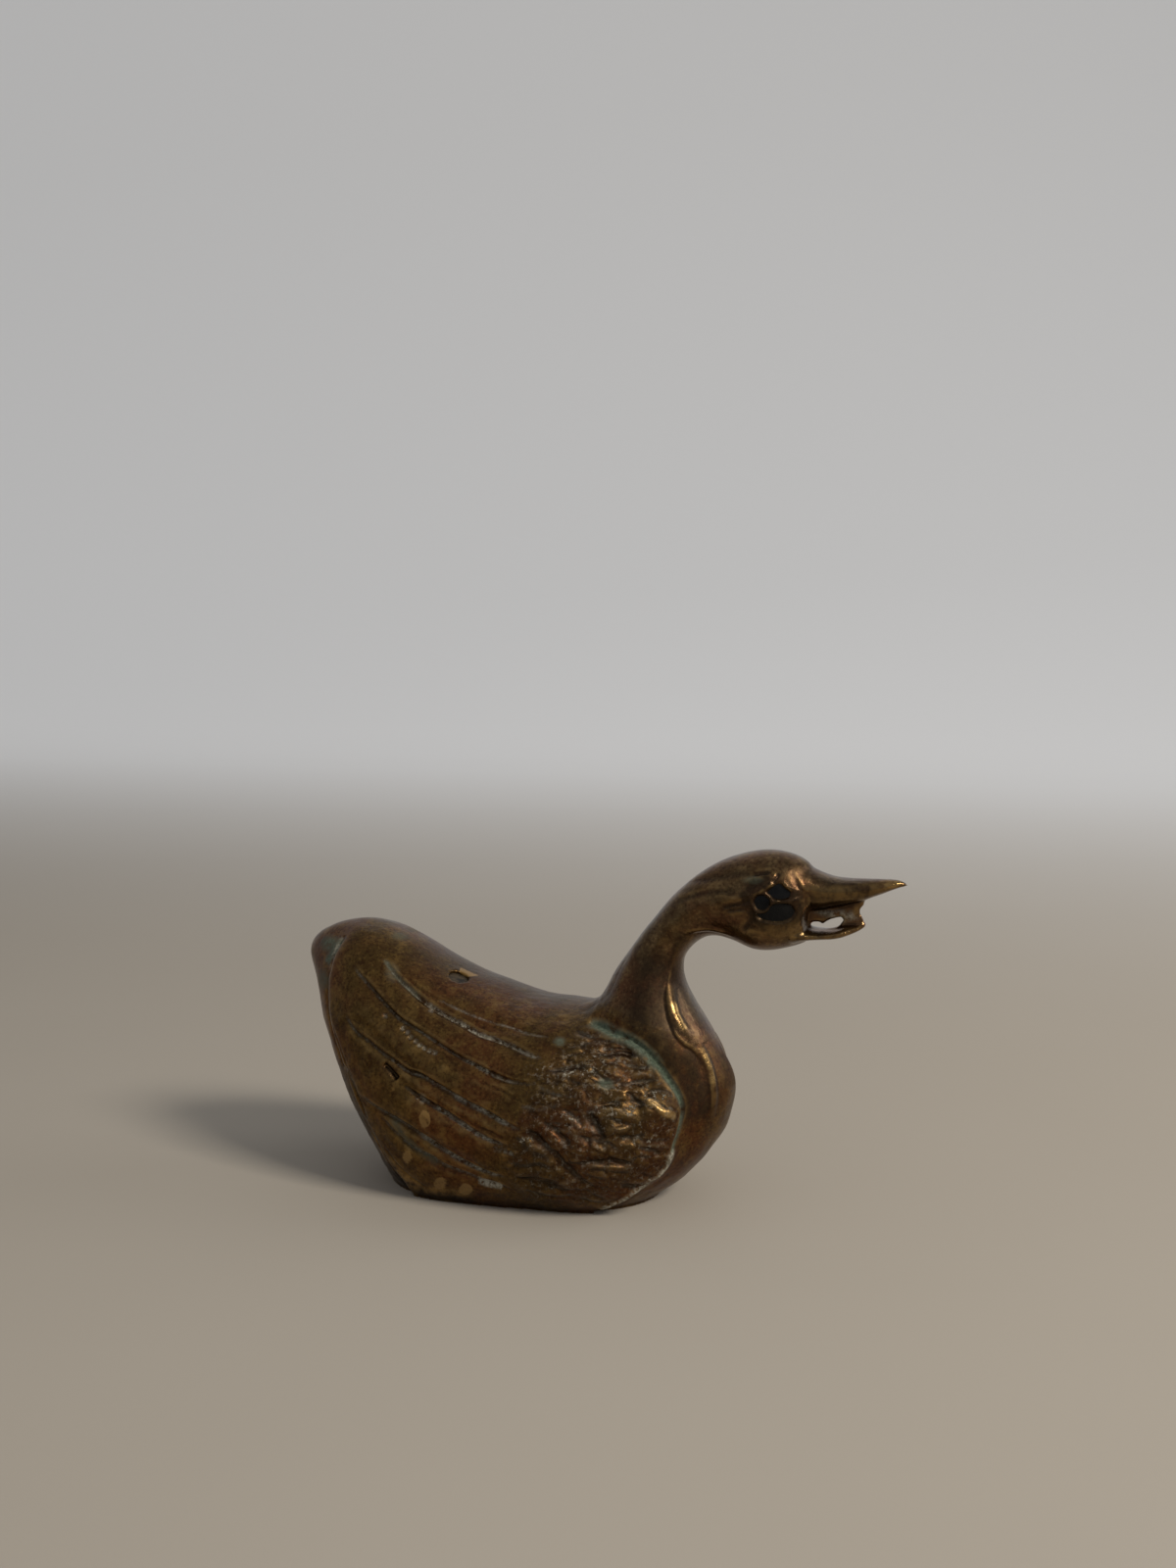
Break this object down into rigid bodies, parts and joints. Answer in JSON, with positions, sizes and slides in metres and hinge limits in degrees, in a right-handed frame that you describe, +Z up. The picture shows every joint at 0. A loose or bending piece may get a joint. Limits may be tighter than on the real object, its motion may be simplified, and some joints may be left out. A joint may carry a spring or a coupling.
{
  "type": "duck figurine",
  "caption": "Small cast brass duck with a hollow body, a joined neck and head, an open bill and dark eye inlays; it stands on its flat base.",
  "frame": {"origin": "centre of the bounding box's footprint, on the plane of the flat base", "axes": "+X from the tail towards the bill, +Z up from the base, +Y to the duck's left side"},
  "size_m": [0.076, 0.0292, 0.0431],
  "materials": {
    "body_brass": "dark olive-brown patina, semi-gloss",
    "neck_brass": "reddish brown patina, polished on the ridges",
    "braze": "dull filler, partly tarnished",
    "plug": "dark, rough",
    "eye_inlay": "dark, glossy"
  },
  "bodies": {
    "root": {"body_shell": "body_brass", "neck_and_head": "neck_brass", "neck_braze_ring": "braze", "core_pin_plug": "plug", "eye_left": "eye_inlay", "eye_right": "eye_inlay"}
  },
  "joints": []
}
